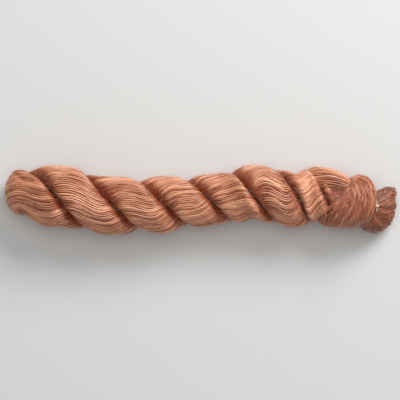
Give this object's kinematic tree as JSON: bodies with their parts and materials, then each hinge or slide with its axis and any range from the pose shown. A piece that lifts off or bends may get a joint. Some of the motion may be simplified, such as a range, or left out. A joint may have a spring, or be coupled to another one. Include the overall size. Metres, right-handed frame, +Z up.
{
  "type": "skein of yarn",
  "caption": "Skein of mohair yarn: a loop of turns twisted, folded and plied round itself, with one end drawn through the other and fanned out.",
  "frame": {"origin": "on the surface it lies on, under the middle of its extent", "axes": "+X along the skein from the fold towards the fanned end, +Y towards the top of the picture, +Z up"},
  "size_m": [0.315, 0.0562, 0.0427],
  "materials": {
    "mohair": "soft, hairy, low sheen",
    "thread": "plain spun thread"
  },
  "bodies": {
    "root": {"hank": "mohair", "tie": "thread"}
  },
  "joints": []
}
